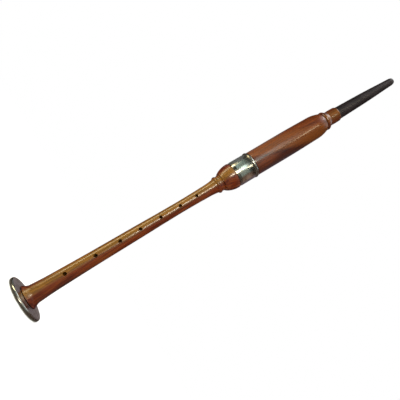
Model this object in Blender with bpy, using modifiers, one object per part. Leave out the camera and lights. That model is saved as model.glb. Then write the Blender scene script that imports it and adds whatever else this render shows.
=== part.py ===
# Practice chanter. A turned wooden stem with seven finger holes and a thumb hole stands on a metal sole.
# Its wound tenon carries a double reed and plugs into a barrel with a metal ferrule, and a mouthpiece
# with a turned wooden mount plugs into the barrel's other end.
# Z runs along the bore from the sole's underside, at zero, and the finger holes face -Y.

from itertools import accumulate
from math import asin, cos, pi, radians, sin

import bmesh
import bpy

MM = 0.001

# Clearances
SEAT_GAP = 0.3 * MM  # between pieces that sit on each other
SLIDE_GAP = 0.25 * MM  # radial, between a wound joint and its socket
REED_GAP = 0.2 * MM  # between the pieces of the reed

# Sole
SOLE_DIAMETER = 51.4 * MM
SOLE_THICKNESS = 4.4 * MM
SOLE_CROWN = 0.9 * MM  # how far the top face climbs from the rim to the foot
SOLE_TOP_ROUND = 1.9 * MM
SOLE_BOTTOM_ROUND = 0.7 * MM

# Foot of the stem
FOOT_SPIGOT_DIAMETER = 15.0 * MM
FOOT_RECESS = 0.5 * MM  # from the sole's underside up to the wood
FOOT_FLARE_DIAMETER = 27.0 * MM
FOOT_FLARE_HEIGHT = 7.6 * MM
FOOT_STEM_DIAMETER = 20.5 * MM
FOOT_TAPER_HEIGHT = 16.0 * MM  # the quick taper above the flare
FOOT_TAPER_DIAMETER = 18.5 * MM
FOOT_FLARE_POWER = 1.7

# Finger holes from the sole up: distance from the hole below, hole diameter, stem diameter there.
# The first distance is from the sole's underside.
FINGER_HOLES = (
    (48.3 * MM, 4.2 * MM, 17.4 * MM),
    (35.1 * MM, 4.1 * MM, 15.7 * MM),
    (29.0 * MM, 4.0 * MM, 14.9 * MM),
    (24.4 * MM, 4.0 * MM, 14.3 * MM),
    (25.4 * MM, 3.8 * MM, 13.4 * MM),
    (24.7 * MM, 3.6 * MM, 13.0 * MM),
    (21.4 * MM, 3.2 * MM, 13.5 * MM),
)
THUMB_HOLE_RISE = 10.0 * MM  # above the top finger hole, on the back
THUMB_HOLE_DIAMETER = 3.6 * MM
THUMB_STEM_DIAMETER = 14.1 * MM
BORE_DIAMETER = 4.6 * MM

# Bead, neck and bulb
THUMB_TO_BEAD = 17.6 * MM  # from the thumb hole to the bead's middle
BEAD_DIAMETER = 19.8 * MM
BEAD_RADIUS = 2.1 * MM
BEAD_FLARE_DIAMETER = 16.6 * MM  # where the stem runs into the bead
BEAD_FLARE_POWER = 2.2
NECK_DIAMETER = 18.0 * MM
NECK_RING_RISE = 4.8 * MM  # from the bead's middle to the thin ring's
NECK_RING_DIAMETER = 19.2 * MM
NECK_RING_RADIUS = 0.75 * MM
BULB_DIAMETER = 30.1 * MM
BULB_HEIGHT = 15.7 * MM
BULB_LENGTHENING = 1.37  # the ellipse that the bulb follows, its half length over the bulb's height
BULB_EDGE_ROUND = 0.7 * MM

# Tenon and its winding
TENON_DIAMETER = 16.4 * MM
TENON_LENGTH = 22.0 * MM
TENON_LAND = 2.4 * MM  # plain wood at each end of the winding
TENON_CHAMFER = 0.5 * MM
WINDING_DEPTH = 0.9 * MM
WINDING_PROUD = 0.15 * MM  # how far a winding stands out of the wood
WINDING_CROWN = 0.1 * MM  # how much higher it stands in the middle

# Reed
REED_SEAT_DEPTH = 9.5 * MM
STAPLE_DIAMETER = 4.4 * MM
STAPLE_WALL = 0.45 * MM
STAPLE_LENGTH = 22.0 * MM
SEAT_HEMP_WALL = 0.5 * MM
SEAT_HEMP_MARGIN = 0.8 * MM
SEAT_HEMP_END = 0.8 * MM  # where the wrap thins out at each end
SEAT_HEMP_THINNING = 0.2 * MM
BLADE_RISE = 3.4 * MM  # from the tenon's end to the blades
BLADE_LENGTH = 31.0 * MM
BLADE_BOUND_LENGTH = 11.5 * MM
BLADE_WALL = 0.7 * MM
BLADE_TIP_WALL = 0.35 * MM
BLADE_TIP_WIDTH = 11.6 * MM
BLADE_TIP_DEPTH = 1.7 * MM
BINDING_WALL = 0.55 * MM
BINDING_LENGTH = 10.0 * MM
BINDING_END = 0.6 * MM
BINDING_THINNING = 0.25 * MM

# Barrel
BARREL_LENGTH = 129.9 * MM
BARREL_DIAMETER = 29.0 * MM  # above the ferrule
BARREL_BELLY_DIAMETER = 29.3 * MM
BARREL_BELLY_RISE = 50.0 * MM  # from the ferrule up to the belly
BARREL_SHOULDER_DIAMETER = 28.2 * MM
BARREL_SHOULDER_HEIGHT = 15.7 * MM
BARREL_END_DIAMETER = 22.4 * MM
SOCKET_ROOM = 1.2 * MM  # past the tenon's end
CHAMBER_DIAMETER = 15.4 * MM
CHAMBER_CONE = 4.5 * MM  # the taper between the chamber and the top bore

# Ferrule
FERRULE_DIAMETER = 29.7 * MM
FERRULE_LENGTH = 25.7 * MM
FERRULE_WALL = 1.4 * MM
FERRULE_LIP_HEIGHT = 3.6 * MM  # the lower edge, which leans in
FERRULE_LIP_LEAN = 0.35 * MM
FERRULE_BEAD_DIAMETER = 31.1 * MM
FERRULE_BEAD_RADIUS = 2.1 * MM
FERRULE_GROOVE_DEPTH = 0.25 * MM
FERRULE_GROOVE_WIDTH = 0.6 * MM
FERRULE_CHAMFER = 0.3 * MM

# Mouthpiece mount
MOUNT_TENON_DIAMETER = 11.6 * MM
MOUNT_TENON_LENGTH = 17.0 * MM
MOUNT_TENON_LAND = 2.0 * MM
MOUNT_TENON_CHAMFER = 0.4 * MM
MOUNT_WINDING_DEPTH = 0.7 * MM
MOUNT_BORE_DIAMETER = 5.0 * MM
MOUNT_GROOVE_DIAMETER = 19.0 * MM
MOUNT_GROOVE_HEIGHT = 0.9 * MM
MOUNT_RING_DIAMETER = 23.0 * MM
MOUNT_RING_RADIUS = 2.2 * MM
MOUNT_COVE_HEIGHT = 4.4 * MM
MOUNT_COVE_POWER = 2.0
MOUNT_COLLAR_DIAMETER = 17.6 * MM
MOUNT_COLLAR_BELLY = 0.15 * MM
MOUNT_COLLAR_HEIGHT = 12.6 * MM
MOUNT_COLLAR_ROUND = 1.0 * MM

# Mouthpiece
MOUTHPIECE_LENGTH = 90.9 * MM
MOUTHPIECE_DIAMETER = 15.3 * MM
MOUTHPIECE_MIDDLE_RISE = 39.5 * MM
MOUTHPIECE_MIDDLE_DIAMETER = 13.3 * MM
MOUTHPIECE_TIP_DIAMETER = 9.4 * MM
MOUTHPIECE_TIP_ROUND = 7.0 * MM
MOUTHPIECE_LIP = 0.7 * MM
MOUTHPIECE_SPIGOT_DIAMETER = 9.4 * MM
MOUTHPIECE_SPIGOT_LENGTH = 10.5 * MM

# Facets round each turned piece
SIDES_SOLE = 48
SIDES_WIDE = 36
SIDES_SLIM = 30
SIDES_REED = 20
SIDES_HOLE = 16

# Heights along the bore, all from the sizes above
SOLE_TOP = SOLE_THICKNESS + SOLE_CROWN
FOOT_BOTTOM = SOLE_TOP + SEAT_GAP
FOOT_TOP = FOOT_BOTTOM + FOOT_FLARE_HEIGHT
HOLE_HEIGHTS = list(accumulate(hole[0] for hole in FINGER_HOLES))
THUMB_HEIGHT = HOLE_HEIGHTS[-1] + THUMB_HOLE_RISE
BEAD_HEIGHT = THUMB_HEIGHT + THUMB_TO_BEAD
NECK_RING_HEIGHT = BEAD_HEIGHT + NECK_RING_RISE
BULB_BOTTOM = NECK_RING_HEIGHT + 2 * NECK_RING_RADIUS
SHOULDER = BULB_BOTTOM + BULB_HEIGHT
TENON_TOP = SHOULDER + TENON_LENGTH
SEAT_FLOOR = TENON_TOP - REED_SEAT_DEPTH
BARREL_BOTTOM = SHOULDER + SEAT_GAP
BARREL_TOP = BARREL_BOTTOM + BARREL_LENGTH
FERRULE_TOP = BARREL_BOTTOM + FERRULE_LENGTH
MOUNT_BOTTOM = BARREL_TOP + SEAT_GAP
MOUNT_TENON_BOTTOM = MOUNT_BOTTOM - MOUNT_TENON_LENGTH
MOUNT_RING_HEIGHT = MOUNT_BOTTOM + MOUNT_GROOVE_HEIGHT + MOUNT_RING_RADIUS
COLLAR_BOTTOM = MOUNT_RING_HEIGHT + MOUNT_RING_RADIUS + MOUNT_COVE_HEIGHT
COLLAR_TOP = COLLAR_BOTTOM + MOUNT_COLLAR_HEIGHT
MOUTHPIECE_BOTTOM = COLLAR_TOP + SEAT_GAP
MOUTHPIECE_TOP = MOUTHPIECE_BOTTOM + MOUTHPIECE_LENGTH

# Radii that one piece takes from another
SOCKET_RADIUS = TENON_DIAMETER / 2 + WINDING_PROUD + WINDING_CROWN + SLIDE_GAP
TOP_BORE_RADIUS = MOUNT_TENON_DIAMETER / 2 + WINDING_PROUD + WINDING_CROWN + SLIDE_GAP
FERRULE_BORE_RADIUS = FERRULE_DIAMETER / 2 - FERRULE_WALL
SEAT_HEMP_RADIUS = STAPLE_DIAMETER / 2 + REED_GAP + SEAT_HEMP_WALL
REED_SEAT_RADIUS = SEAT_HEMP_RADIUS + REED_GAP
BLADE_BORE_RADIUS = STAPLE_DIAMETER / 2 + REED_GAP
BLADE_RADIUS = BLADE_BORE_RADIUS + BLADE_WALL
MOUTHPIECE_SOCKET_RADIUS = MOUTHPIECE_SPIGOT_DIAMETER / 2 + SEAT_GAP


# Outlines are lists of (radius, height), from the bottom up on the outside.

def arc(radius, height, size, start, end, count=8):
    """Points on a circle round (radius, height); the angles are in degrees, and 0 points outwards."""
    steps = [radians(start + (end - start) * step / count) for step in range(count + 1)]
    return [(radius + size * cos(angle), height + size * sin(angle)) for angle in steps]


def smooth(stations, per_span=2):
    """A curve through (diameter, height) stations that never swings past them."""
    heights = [height for diameter, height in stations]
    radii = [diameter / 2 for diameter, height in stations]
    slopes = [
        (radii[i + 1] - radii[i]) / (heights[i + 1] - heights[i])
        for i in range(len(stations) - 1)
    ]
    tangents = [slopes[0]]
    for before, after in zip(slopes, slopes[1:]):
        tangents.append(0 if before * after <= 0 else 2 * before * after / (before + after))
    tangents.append(slopes[-1])
    points = []
    for i, height in enumerate(heights[:-1]):
        span = heights[i + 1] - height
        for step in range(per_span):
            t = step / per_span
            points.append((
                radii[i] * (1 + 2 * t) * (1 - t) ** 2
                + tangents[i] * span * t * (1 - t) ** 2
                + radii[i + 1] * t * t * (3 - 2 * t)
                + tangents[i + 1] * span * t * t * (t - 1),
                height + span * t,
            ))
    return points + [(radii[-1], heights[-1])]


def sweep(low, high, power, count=6):
    """From low to high, each (radius, height): the radius changes fast at first where power is over 1."""
    points = []
    for step in range(count + 1):
        t = step / count
        radius = high[0] + (low[0] - high[0]) * (1 - t) ** power
        points.append((radius, low[1] + (high[1] - low[1]) * t))
    return points


def recess(radius, depth, low, high):
    """The groove that a winding lies in."""
    floor = radius - depth
    return [(radius, low), (floor, low + depth / 2), (floor, high - depth / 2), (radius, high)]


# Objects

def new_collection(name, hidden=False):
    collection = bpy.data.collections.new(name)
    bpy.context.scene.collection.children.link(collection)
    collection.hide_render = hidden
    return collection


def new_material(name, color, roughness, metallic=0.0):
    material = bpy.data.materials.new(name)
    material.use_nodes = True
    shader = material.node_tree.nodes["Principled BSDF"]
    shader.inputs["Base Color"].default_value = (*color, 1.0)
    shader.inputs["Roughness"].default_value = roughness
    shader.inputs["Metallic"].default_value = metallic
    material.diffuse_color = (*color, 1.0)
    return material


def new_object(name, mesh, material, collection):
    item = bpy.data.objects.new(name, mesh)
    collection.objects.link(item)
    mesh.materials.append(material)
    return item


def turn(name, outline, sides, material, collection):
    """Turns a closed outline round Z. Reversed, it runs down its outer side, as Screw needs."""
    points = [(radius, 0.0, height) for radius, height in reversed(outline)]
    edges = [(i, (i + 1) % len(points)) for i in range(len(points))]
    mesh = bpy.data.meshes.new(name)
    mesh.from_pydata(points, edges, [])
    item = new_object(name, mesh, material, collection)
    screw = item.modifiers.new("Turned", "SCREW")
    screw.axis = "Z"
    screw.steps = sides
    screw.render_steps = sides
    screw.use_merge_vertices = True
    screw.merge_threshold = 0.00001
    return item


def drill(item, name, height, diameter, depth, front, cutters):
    """Cuts a round hole from outside to the bore's middle, from the front or from the back."""
    bpy.ops.mesh.primitive_cylinder_add(
        vertices=SIDES_HOLE,
        radius=diameter / 2,
        depth=depth,
        location=(0.0, -depth / 2 if front else depth / 2, height),
        rotation=(pi / 2, 0.0, 0.0),
    )
    cutter = bpy.context.object
    cutter.name = name
    cutter.display_type = "WIRE"
    cutter.hide_render = True
    for collection in cutter.users_collection:
        collection.objects.unlink(cutter)
    cutters.objects.link(cutter)
    boolean = item.modifiers.new(name, "BOOLEAN")
    boolean.operation = "DIFFERENCE"
    boolean.solver = "EXACT"
    boolean.object = cutter


def shade(item):
    """Makes the modifiers real, so that the turned surface is smooth and its corners stay crisp."""
    graph = bpy.context.evaluated_depsgraph_get()
    mesh = bpy.data.meshes.new_from_object(item.evaluated_get(graph))
    item.modifiers.clear()
    item.data = mesh
    mesh.shade_smooth()
    mesh.set_sharp_from_angle(angle=radians(32))


# Pieces

def make_sole(material, collection):
    radius = SOLE_DIAMETER / 2
    bore = FOOT_SPIGOT_DIAMETER / 2 + SEAT_GAP
    flat = FOOT_FLARE_DIAMETER / 2
    outline = [(bore, 0.0)]
    outline += arc(radius - SOLE_BOTTOM_ROUND, SOLE_BOTTOM_ROUND, SOLE_BOTTOM_ROUND, -90, 0, 4)
    outline += arc(radius - SOLE_TOP_ROUND, SOLE_THICKNESS - SOLE_TOP_ROUND, SOLE_TOP_ROUND, 0, 90, 6)
    outline += [(flat, SOLE_TOP), (bore, SOLE_TOP)]
    return turn("sole", outline, SIDES_SOLE, material, collection)


def make_stem(material, collection, cutters):
    spigot = FOOT_SPIGOT_DIAMETER / 2
    tenon = TENON_DIAMETER / 2
    bulb = BULB_DIAMETER / 2
    bead_core = BEAD_DIAMETER / 2 - BEAD_RADIUS
    ring_core = NECK_RING_DIAMETER / 2 - NECK_RING_RADIUS
    outline = [(spigot, FOOT_RECESS), (spigot, FOOT_BOTTOM)]
    flare_edge = (FOOT_FLARE_DIAMETER / 2, FOOT_BOTTOM)
    outline += sweep(flare_edge, (FOOT_STEM_DIAMETER / 2, FOOT_TOP), FOOT_FLARE_POWER)
    stations = [
        (FOOT_STEM_DIAMETER, FOOT_TOP),
        (FOOT_TAPER_DIAMETER, FOOT_TOP + FOOT_TAPER_HEIGHT),
    ]
    stations += [(hole[2], height) for hole, height in zip(FINGER_HOLES, HOLE_HEIGHTS)]
    stations += [(THUMB_STEM_DIAMETER, THUMB_HEIGHT)]
    outline += smooth(stations)[1:]
    bead_foot = (BEAD_FLARE_DIAMETER / 2, BEAD_HEIGHT - BEAD_RADIUS)
    bead_flare = sweep(bead_foot, (THUMB_STEM_DIAMETER / 2, THUMB_HEIGHT), BEAD_FLARE_POWER)
    outline += reversed(bead_flare[:-1])
    outline += arc(bead_core, BEAD_HEIGHT, BEAD_RADIUS, -60, 55, 6)
    outline += [(NECK_DIAMETER / 2, NECK_RING_HEIGHT - NECK_RING_RADIUS)]
    outline += arc(ring_core, NECK_RING_HEIGHT, NECK_RING_RADIUS, -50, 70, 3)
    outline += [(NECK_DIAMETER / 2, BULB_BOTTOM)]
    half_length = BULB_HEIGHT * BULB_LENGTHENING
    for step in range(8):
        drop = (BULB_HEIGHT - BULB_EDGE_ROUND) * (1 - step / 7)
        outline.append((bulb * cos(asin(drop / half_length)), SHOULDER - BULB_EDGE_ROUND - drop))
    outline += arc(bulb - BULB_EDGE_ROUND, SHOULDER - BULB_EDGE_ROUND, BULB_EDGE_ROUND, 0, 90, 3)[1:]
    outline += [(tenon, SHOULDER)]
    outline += recess(tenon, WINDING_DEPTH, SHOULDER + TENON_LAND, TENON_TOP - TENON_LAND)
    outline += [(tenon, TENON_TOP - TENON_CHAMFER), (tenon - TENON_CHAMFER, TENON_TOP)]
    outline += [(REED_SEAT_RADIUS, TENON_TOP), (REED_SEAT_RADIUS, SEAT_FLOOR)]
    outline += [(BORE_DIAMETER / 2, SEAT_FLOOR), (BORE_DIAMETER / 2, FOOT_RECESS)]
    stem = turn("chanter_stem", outline, SIDES_SLIM, material, collection)
    for number, (hole, height) in enumerate(zip(FINGER_HOLES, HOLE_HEIGHTS), start=1):
        drill(stem, f"finger_hole_{number}", height, hole[1], hole[2], True, cutters)
    drill(stem, "thumb_hole", THUMB_HEIGHT, THUMB_HOLE_DIAMETER, THUMB_STEM_DIAMETER, False, cutters)
    return stem


def make_winding(name, radius, depth, low, high, sides, material, collection):
    """A thread winding as one crowned band in its recess."""
    inner = radius - depth + SEAT_GAP
    outer = radius + WINDING_PROUD
    bottom = low + depth / 2 + SEAT_GAP
    top = high - depth / 2 - SEAT_GAP
    outline = []
    for step in range(5):
        t = step / 4
        outline.append((outer + WINDING_CROWN * sin(pi * t), bottom + (top - bottom) * t))
    outline += [(inner, top), (inner, bottom)]
    return turn(name, outline, sides, material, collection)


def make_reed(materials, collection):
    staple = STAPLE_DIAMETER / 2
    staple_bottom = SEAT_FLOOR + SEAT_GAP
    staple_top = staple_bottom + STAPLE_LENGTH
    staple_bore = staple - STAPLE_WALL
    turn(
        "reed_staple",
        [
            (staple, staple_bottom), (staple, staple_top),
            (staple_bore, staple_top), (staple_bore, staple_bottom),
        ],
        SIDES_REED, materials["brass"], collection,
    )
    hemp_bottom = staple_bottom + SEAT_HEMP_MARGIN
    hemp_top = TENON_TOP - SEAT_HEMP_MARGIN
    hemp_bore = staple + REED_GAP
    turn(
        "reed_seat_hemp",
        [
            (SEAT_HEMP_RADIUS - SEAT_HEMP_THINNING, hemp_bottom),
            (SEAT_HEMP_RADIUS, hemp_bottom + SEAT_HEMP_END),
            (SEAT_HEMP_RADIUS, hemp_top - SEAT_HEMP_END),
            (SEAT_HEMP_RADIUS - SEAT_HEMP_THINNING, hemp_top),
            (hemp_bore, hemp_top), (hemp_bore, hemp_bottom),
        ],
        SIDES_REED, materials["hemp"], collection,
    )
    blade_bottom = TENON_TOP + BLADE_RISE
    for name, side in (("reed_blade_front", -1), ("reed_blade_back", 1)):
        make_blade(name, blade_bottom, side, materials["cane"], collection)
    binding_bore = BLADE_RADIUS + REED_GAP
    binding = binding_bore + BINDING_WALL
    binding_bottom = blade_bottom + (BLADE_BOUND_LENGTH - BINDING_LENGTH) / 2
    binding_top = binding_bottom + BINDING_LENGTH
    turn(
        "reed_binding",
        [
            (binding - BINDING_THINNING, binding_bottom),
            (binding, binding_bottom + BINDING_END),
            (binding, binding_top - BINDING_END),
            (binding - BINDING_THINNING, binding_top),
            (binding_bore, binding_top), (binding_bore, binding_bottom),
        ],
        SIDES_REED, materials["thread"], collection,
    )


def blade_section(width, depth, wall, height, side, count=8):
    """One blade cut across: an outer and an inner half ellipse that stop short of the other blade."""
    edge = REED_GAP / 2
    section = []
    for half_width, half_depth, inwards in (
        (width / 2, depth / 2, False),
        (width / 2 - wall, depth / 2 - wall, True),
    ):
        first = asin(edge / half_depth)
        angles = [first + (pi - 2 * first) * step / count for step in range(count + 1)]
        if inwards:
            angles.reverse()
        section += [(half_width * cos(angle), side * half_depth * sin(angle), height) for angle in angles]
    return section


def make_blade(name, bottom, side, material, collection):
    """A loft from a half round, bound on the staple, to a wide flat lip."""
    sections = [blade_section(2 * BLADE_RADIUS, 2 * BLADE_RADIUS, BLADE_WALL, bottom, side)]
    steps = 8
    free = BLADE_LENGTH - BLADE_BOUND_LENGTH
    for step in range(steps + 1):
        t = step / steps
        ease = t * t * (3 - 2 * t)
        sections.append(blade_section(
            2 * BLADE_RADIUS + (BLADE_TIP_WIDTH - 2 * BLADE_RADIUS) * ease,
            2 * BLADE_RADIUS + (BLADE_TIP_DEPTH - 2 * BLADE_RADIUS) * ease,
            BLADE_WALL + (BLADE_TIP_WALL - BLADE_WALL) * t,
            bottom + BLADE_BOUND_LENGTH + free * t,
            side,
        ))
    shape = bmesh.new()
    rings = [[shape.verts.new(point) for point in section] for section in sections]
    for lower, upper in zip(rings, rings[1:]):
        for i in range(len(lower)):
            j = (i + 1) % len(lower)
            shape.faces.new((lower[i], lower[j], upper[j], upper[i]))
    for ring in (rings[0], rings[-1]):
        half = len(ring) // 2
        for i in range(half - 1):
            shape.faces.new((ring[i], ring[i + 1], ring[-2 - i], ring[-1 - i]))
    bmesh.ops.recalc_face_normals(shape, faces=shape.faces)
    mesh = bpy.data.meshes.new(name)
    shape.to_mesh(mesh)
    shape.free()
    return new_object(name, mesh, material, collection)


def make_ferrule(material, collection):
    radius = FERRULE_DIAMETER / 2
    bead_core = FERRULE_BEAD_DIAMETER / 2 - FERRULE_BEAD_RADIUS
    bead_height = FERRULE_TOP - FERRULE_BEAD_RADIUS
    groove = bead_height - FERRULE_BEAD_RADIUS
    lip = radius - FERRULE_LIP_LEAN
    outline = [(lip - FERRULE_CHAMFER, BARREL_BOTTOM), (lip, BARREL_BOTTOM + FERRULE_CHAMFER)]
    outline += [(radius, BARREL_BOTTOM + FERRULE_LIP_HEIGHT)]
    outline += [(radius, groove - FERRULE_GROOVE_WIDTH), (radius - FERRULE_GROOVE_DEPTH, groove)]
    outline += arc(bead_core, bead_height, FERRULE_BEAD_RADIUS, -60, 75, 7)
    outline += [(FERRULE_BORE_RADIUS, FERRULE_TOP), (FERRULE_BORE_RADIUS, BARREL_BOTTOM)]
    return turn("ferrule", outline, SIDES_WIDE, material, collection)


def make_barrel(material, collection):
    spigot = FERRULE_BORE_RADIUS - SEAT_GAP
    step_up = FERRULE_TOP + SEAT_GAP
    shoulder = BARREL_TOP - BARREL_SHOULDER_HEIGHT
    outline = [(SOCKET_RADIUS, BARREL_BOTTOM), (spigot, BARREL_BOTTOM), (spigot, step_up)]
    outline += smooth([
        (BARREL_DIAMETER, step_up),
        (BARREL_BELLY_DIAMETER, step_up + BARREL_BELLY_RISE),
        (BARREL_SHOULDER_DIAMETER, shoulder),
    ], 4)
    end = BARREL_END_DIAMETER / 2
    for step in range(1, 9):
        t = step / 8
        swell = (BARREL_SHOULDER_DIAMETER / 2 - end) * (1 - t * t)
        outline.append((end + swell, shoulder + BARREL_SHOULDER_HEIGHT * t))
    bore_end = MOUNT_TENON_BOTTOM - SEAT_GAP
    socket_end = TENON_TOP + SOCKET_ROOM
    chamber = CHAMBER_DIAMETER / 2
    outline += [(TOP_BORE_RADIUS, BARREL_TOP), (TOP_BORE_RADIUS, bore_end)]
    outline += [(chamber, bore_end - CHAMBER_CONE), (chamber, socket_end), (SOCKET_RADIUS, socket_end)]
    return turn("barrel", outline, SIDES_WIDE, material, collection)


def make_mount(material, collection):
    tenon = MOUNT_TENON_DIAMETER / 2
    bore = MOUNT_BORE_DIAMETER / 2
    groove = MOUNT_GROOVE_DIAMETER / 2
    collar = MOUNT_COLLAR_DIAMETER / 2
    ring_core = MOUNT_RING_DIAMETER / 2 - MOUNT_RING_RADIUS
    outline = [(tenon - MOUNT_TENON_CHAMFER, MOUNT_TENON_BOTTOM)]
    outline += [(tenon, MOUNT_TENON_BOTTOM + MOUNT_TENON_CHAMFER)]
    outline += recess(
        tenon, MOUNT_WINDING_DEPTH, MOUNT_TENON_BOTTOM + MOUNT_TENON_LAND, MOUNT_BOTTOM - MOUNT_TENON_LAND
    )
    outline += [(tenon, MOUNT_BOTTOM), (groove, MOUNT_BOTTOM), (groove, MOUNT_BOTTOM + MOUNT_GROOVE_HEIGHT)]
    outline += arc(ring_core, MOUNT_RING_HEIGHT, MOUNT_RING_RADIUS, -70, 60, 7)
    cove_bottom = outline[-1]
    outline += sweep(cove_bottom, (collar, COLLAR_BOTTOM), MOUNT_COVE_POWER, 5)[1:]
    rise = MOUNT_COLLAR_HEIGHT - MOUNT_COLLAR_ROUND
    for step in range(1, 4):
        t = step / 4
        outline.append((collar + MOUNT_COLLAR_BELLY * sin(pi * t), COLLAR_BOTTOM + rise * t))
    round_core = collar - MOUNT_COLLAR_ROUND
    outline += arc(round_core, COLLAR_TOP - MOUNT_COLLAR_ROUND, MOUNT_COLLAR_ROUND, 0, 90, 3)
    socket_floor = MOUTHPIECE_BOTTOM - MOUTHPIECE_SPIGOT_LENGTH - SEAT_GAP
    outline += [(MOUTHPIECE_SOCKET_RADIUS, COLLAR_TOP), (MOUTHPIECE_SOCKET_RADIUS, socket_floor)]
    outline += [(bore, socket_floor), (bore, MOUNT_TENON_BOTTOM)]
    return turn("mouthpiece_mount", outline, SIDES_SLIM, material, collection)


def make_mouthpiece(material, collection):
    spigot = MOUTHPIECE_SPIGOT_DIAMETER / 2
    bore = MOUNT_BORE_DIAMETER / 2
    tip = MOUTHPIECE_TIP_DIAMETER / 2
    round_start = MOUTHPIECE_TOP - MOUTHPIECE_TIP_ROUND
    spigot_bottom = MOUTHPIECE_BOTTOM - MOUTHPIECE_SPIGOT_LENGTH
    outline = [(spigot, spigot_bottom), (spigot, MOUTHPIECE_BOTTOM)]
    outline += smooth([
        (MOUTHPIECE_DIAMETER, MOUTHPIECE_BOTTOM),
        (MOUTHPIECE_MIDDLE_DIAMETER, MOUTHPIECE_BOTTOM + MOUTHPIECE_MIDDLE_RISE),
        (MOUTHPIECE_TIP_DIAMETER, round_start),
    ], 4)
    lip = bore + MOUTHPIECE_LIP
    for step in range(1, 7):
        angle = step / 6 * pi / 2
        outline.append((lip + (tip - lip) * cos(angle), round_start + MOUTHPIECE_TIP_ROUND * sin(angle)))
    outline += [(bore, MOUTHPIECE_TOP - MOUTHPIECE_LIP), (bore, spigot_bottom)]
    return turn("mouthpiece_tube", outline, SIDES_SLIM, material, collection)


def main():
    for item in list(bpy.data.objects):
        bpy.data.objects.remove(item, do_unlink=True)

    parts = new_collection("practice_chanter")
    cutters = new_collection("cutters", hidden=True)
    rosewood = new_material("varnished_rosewood", (0.24, 0.055, 0.016), 0.22)
    nickel = new_material("nickel_silver", (0.66, 0.68, 0.66), 0.16, 1.0)
    ebonite = new_material("black_mouthpiece", (0.018, 0.016, 0.017), 0.35)
    materials = {
        "brass": new_material("brass", (0.72, 0.52, 0.22), 0.3, 1.0),
        "cane": new_material("reed_cane", (0.66, 0.47, 0.2), 0.55),
        "hemp": new_material("waxed_hemp", (0.5, 0.34, 0.13), 0.8),
        "thread": new_material("binding_thread", (0.35, 0.03, 0.03), 0.75),
    }

    make_sole(nickel, parts)
    make_stem(rosewood, parts, cutters)
    make_winding(
        "tenon_hemp", TENON_DIAMETER / 2, WINDING_DEPTH,
        SHOULDER + TENON_LAND, TENON_TOP - TENON_LAND, SIDES_WIDE, materials["hemp"], parts,
    )
    make_reed(materials, parts)
    make_ferrule(nickel, parts)
    make_barrel(rosewood, parts)
    make_mount(rosewood, parts)
    make_winding(
        "mount_hemp", MOUNT_TENON_DIAMETER / 2, MOUNT_WINDING_DEPTH,
        MOUNT_TENON_BOTTOM + MOUNT_TENON_LAND, MOUNT_BOTTOM - MOUNT_TENON_LAND,
        SIDES_SLIM, materials["hemp"], parts,
    )
    make_mouthpiece(ebonite, parts)
    for item in parts.objects:
        shade(item)


main()
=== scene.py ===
# Looks for a turned practice chanter: rosewood stem and barrel, nickel silver sole and ferrule,
# black mouthpiece, and the double reed and waxed thread hidden in the joint.
# Sizes are millimetres until they reach Blender. Z runs up the bore, and the finger holes face -Y.

import math

import bpy
from mathutils import Matrix, Vector, noise


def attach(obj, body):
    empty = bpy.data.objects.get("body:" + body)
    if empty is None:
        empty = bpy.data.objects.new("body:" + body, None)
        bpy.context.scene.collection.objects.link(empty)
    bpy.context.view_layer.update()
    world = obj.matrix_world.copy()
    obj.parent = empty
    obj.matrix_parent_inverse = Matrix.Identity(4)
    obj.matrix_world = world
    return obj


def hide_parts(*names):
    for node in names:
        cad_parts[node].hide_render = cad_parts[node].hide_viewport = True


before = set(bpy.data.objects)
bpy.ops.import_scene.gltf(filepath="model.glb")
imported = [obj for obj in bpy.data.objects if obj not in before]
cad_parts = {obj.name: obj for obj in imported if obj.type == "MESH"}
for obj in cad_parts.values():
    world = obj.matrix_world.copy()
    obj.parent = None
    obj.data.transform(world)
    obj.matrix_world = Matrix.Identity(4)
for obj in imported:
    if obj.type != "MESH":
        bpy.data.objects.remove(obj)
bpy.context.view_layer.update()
mm = 0.001
sharpAngle = 38  # degrees, edges turned more than this stay crisp


# Mesh helpers. An outline is a list of (radius, height), up the outside and down the bore.

def arcPoints(radius, height, size, start, end, count):  # degrees, 0 points outwards
    angles = [math.radians(start + (end - start) * i / count) for i in range(count + 1)]
    return [(radius + size * math.cos(a), height + size * math.sin(a)) for a in angles]


def easeCurve(stations, perSpan):  # through (diameter, height), never past them
    heights = [h for d, h in stations]
    radii = [d / 2 for d, h in stations]
    slopes = [
        (radii[i + 1] - radii[i]) / (heights[i + 1] - heights[i]) for i in range(len(stations) - 1)
    ]
    tangents = [slopes[0]]
    for a, b in zip(slopes, slopes[1:]):
        tangents.append(0 if a * b <= 0 else 2 * a * b / (a + b))
    tangents.append(slopes[-1])
    points = []
    for i in range(len(stations) - 1):
        span = heights[i + 1] - heights[i]
        for step in range(perSpan):
            t = step / perSpan
            r = (radii[i] * (1 + 2 * t) * (1 - t) ** 2 + tangents[i] * span * t * (1 - t) ** 2
                 + radii[i + 1] * t * t * (3 - 2 * t) + tangents[i + 1] * span * t * t * (t - 1))
            points.append((r, heights[i] + span * t))
    return points + [(radii[-1], heights[-1])]


def flare(low, high, power, count):  # low to high, the radius changing fastest at low
    return [
        (high[0] + (low[0] - high[0]) * (1 - i / count) ** power, low[1] + (high[1] - low[1]) * i / count)
        for i in range(count + 1)
    ]


def shadeMesh(mesh):
    mesh.shade_smooth()
    mesh.set_sharp_from_angle(angle=math.radians(sharpAngle))


def finishMesh(name, points, faces, material):
    mesh = bpy.data.meshes.new(name)
    mesh.from_pydata(points, [], faces)
    shadeMesh(mesh)
    piece = bpy.data.objects.new(name, mesh)
    bpy.context.scene.collection.objects.link(piece)
    mesh.materials.append(material)
    return piece


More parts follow.
